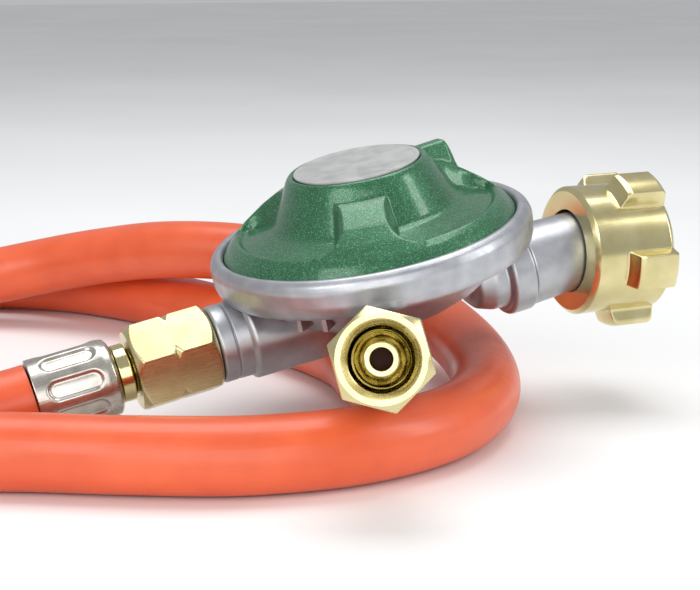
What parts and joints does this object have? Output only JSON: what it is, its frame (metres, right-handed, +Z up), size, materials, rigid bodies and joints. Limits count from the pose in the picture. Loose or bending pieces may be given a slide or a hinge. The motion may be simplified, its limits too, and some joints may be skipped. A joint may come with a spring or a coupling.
{
  "type": "propane regulator hose",
  "caption": "Low-pressure gas regulator with a domed cap, a lugged hand nut for the cylinder and a rubber hose that ends in a union nut.",
  "frame": {"origin": "centre of the round label face on top of the regulator's cap", "axes": "+Z up from the table that the hose lies on, +X towards the cylinder hand nut, level, +Y away from the far end of the hose"},
  "size_m": [0.2344, 0.2211, 0.0604],
  "materials": {
    "zinc": "satin die-cast",
    "green_paint": "metallic flake, glossy",
    "label": "satin",
    "brass": "machined, bright",
    "ferrule_metal": "plated, crimped",
    "steel": "plain",
    "black_rubber": "matt",
    "orange_rubber": "semi-gloss"
  },
  "bodies": {
    "regulator": {"body": "zinc", "cap": "green_paint", "label_disc": "label", "adjusting_disc": "brass", "main_spring": "steel", "diaphragm": "black_rubber", "lever_pin": "steel", "inlet_jet": "brass", "inlet_filter": "steel", "inlet_spigot": "brass", "inlet_seal": "black_rubber", "hose_nipple_1": "brass", "ferrule_1": "ferrule_metal", "hose": "orange_rubber", "hose_nipple_2": "brass", "ferrule_2": "ferrule_metal"},
    "hand_nut": {"hand_nut": "brass"},
    "union_nut_1": {"union_nut_1": "brass"},
    "union_nut_2": {"union_nut_2": "brass"},
    "diaphragm_stack": {"diaphragm_plate": "steel", "diaphragm_stem": "brass"},
    "lever": {"lever": "steel"},
    "valve": {"valve_slider": "brass", "valve_pad": "black_rubber"}
  },
  "joints": [
    {"name": "hand_nut_turn", "type": "hinge", "parent": "regulator", "child": "hand_nut", "pos_m": [0.05188, 0.00171, -0.02201], "axis": [0.9997, 0.01, 0.0229], "continuous": true},
    {"name": "union_nut_1_turn", "type": "hinge", "parent": "regulator", "child": "union_nut_1", "pos_m": [-0.03962, 0.00155, -0.03889], "axis": [0.977, 0, 0.213], "continuous": true},
    {"name": "union_nut_2_turn", "type": "hinge", "parent": "regulator", "child": "union_nut_2", "pos_m": [-0.018, -0.0626, -0.0257], "axis": [-0.3447, -0.9052, 0.2488], "continuous": true},
    {"name": "diaphragm_slide", "type": "slide", "parent": "regulator", "child": "diaphragm_stack", "axis": [-0.2127, -0.0523, 0.9757], "range_m": [0, 0.002], "stiffness_N_per_m": 500, "springref_m": -0.003, "deforming": ["main_spring", "diaphragm"]},
    {"name": "lever_hinge", "type": "hinge", "parent": "regulator", "child": "lever", "pos_m": [-0.00687, 0.00119, -0.0248], "axis": [0.0111, -0.9986, -0.0511], "range_deg": [0, 9.5]},
    {"name": "valve_slide", "type": "slide", "parent": "regulator", "child": "valve", "axis": [0.977, 0, 0.213], "range_m": [0, 0.0008]}
  ],
  "couplings": [
    {"joint": "lever_hinge", "follows": "diaphragm_slide", "rad_per_m": 82.9},
    {"joint": "valve_slide", "follows": "diaphragm_slide", "ratio": 0.4}
  ]
}
